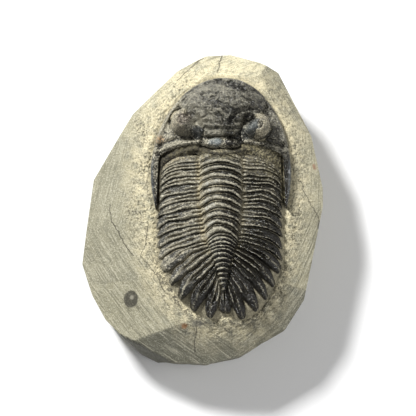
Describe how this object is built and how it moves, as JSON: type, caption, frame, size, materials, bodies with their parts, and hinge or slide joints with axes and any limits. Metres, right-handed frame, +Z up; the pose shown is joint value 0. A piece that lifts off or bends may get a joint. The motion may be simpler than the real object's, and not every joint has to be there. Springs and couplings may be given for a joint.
{
  "type": "trilobite fossil",
  "caption": "Prepared trilobite with turret eyes, genal spines and a spiny fan-shaped tail, lying back uppermost on a ground, faceted block of pale limestone with a flat base.",
  "frame": {"origin": "centre of the bounding box, on the flat base", "axes": "+Y along the fossil towards its head, +Z up out of the fossil's back, +X to the fossil's right as seen from above with the head away from the viewer"},
  "size_m": [0.0576, 0.0746, 0.025],
  "materials": {
    "limestone": "matt, ground with a coarse wheel, fine scratches and small pits",
    "fossil_shell": "dark calcite, semi-gloss on the ridges, dusty in the furrows"
  },
  "bodies": {
    "root": {"limestone_block": "limestone", "cephalon": "fossil_shell", "thoracic_segment_01": "fossil_shell", "thoracic_segment_02": "fossil_shell", "thoracic_segment_03": "fossil_shell", "thoracic_segment_04": "fossil_shell", "thoracic_segment_05": "fossil_shell", "thoracic_segment_06": "fossil_shell", "thoracic_segment_07": "fossil_shell", "thoracic_segment_08": "fossil_shell", "thoracic_segment_09": "fossil_shell", "thoracic_segment_10": "fossil_shell", "thoracic_segment_11": "fossil_shell", "pygidium": "fossil_shell"}
  },
  "joints": []
}
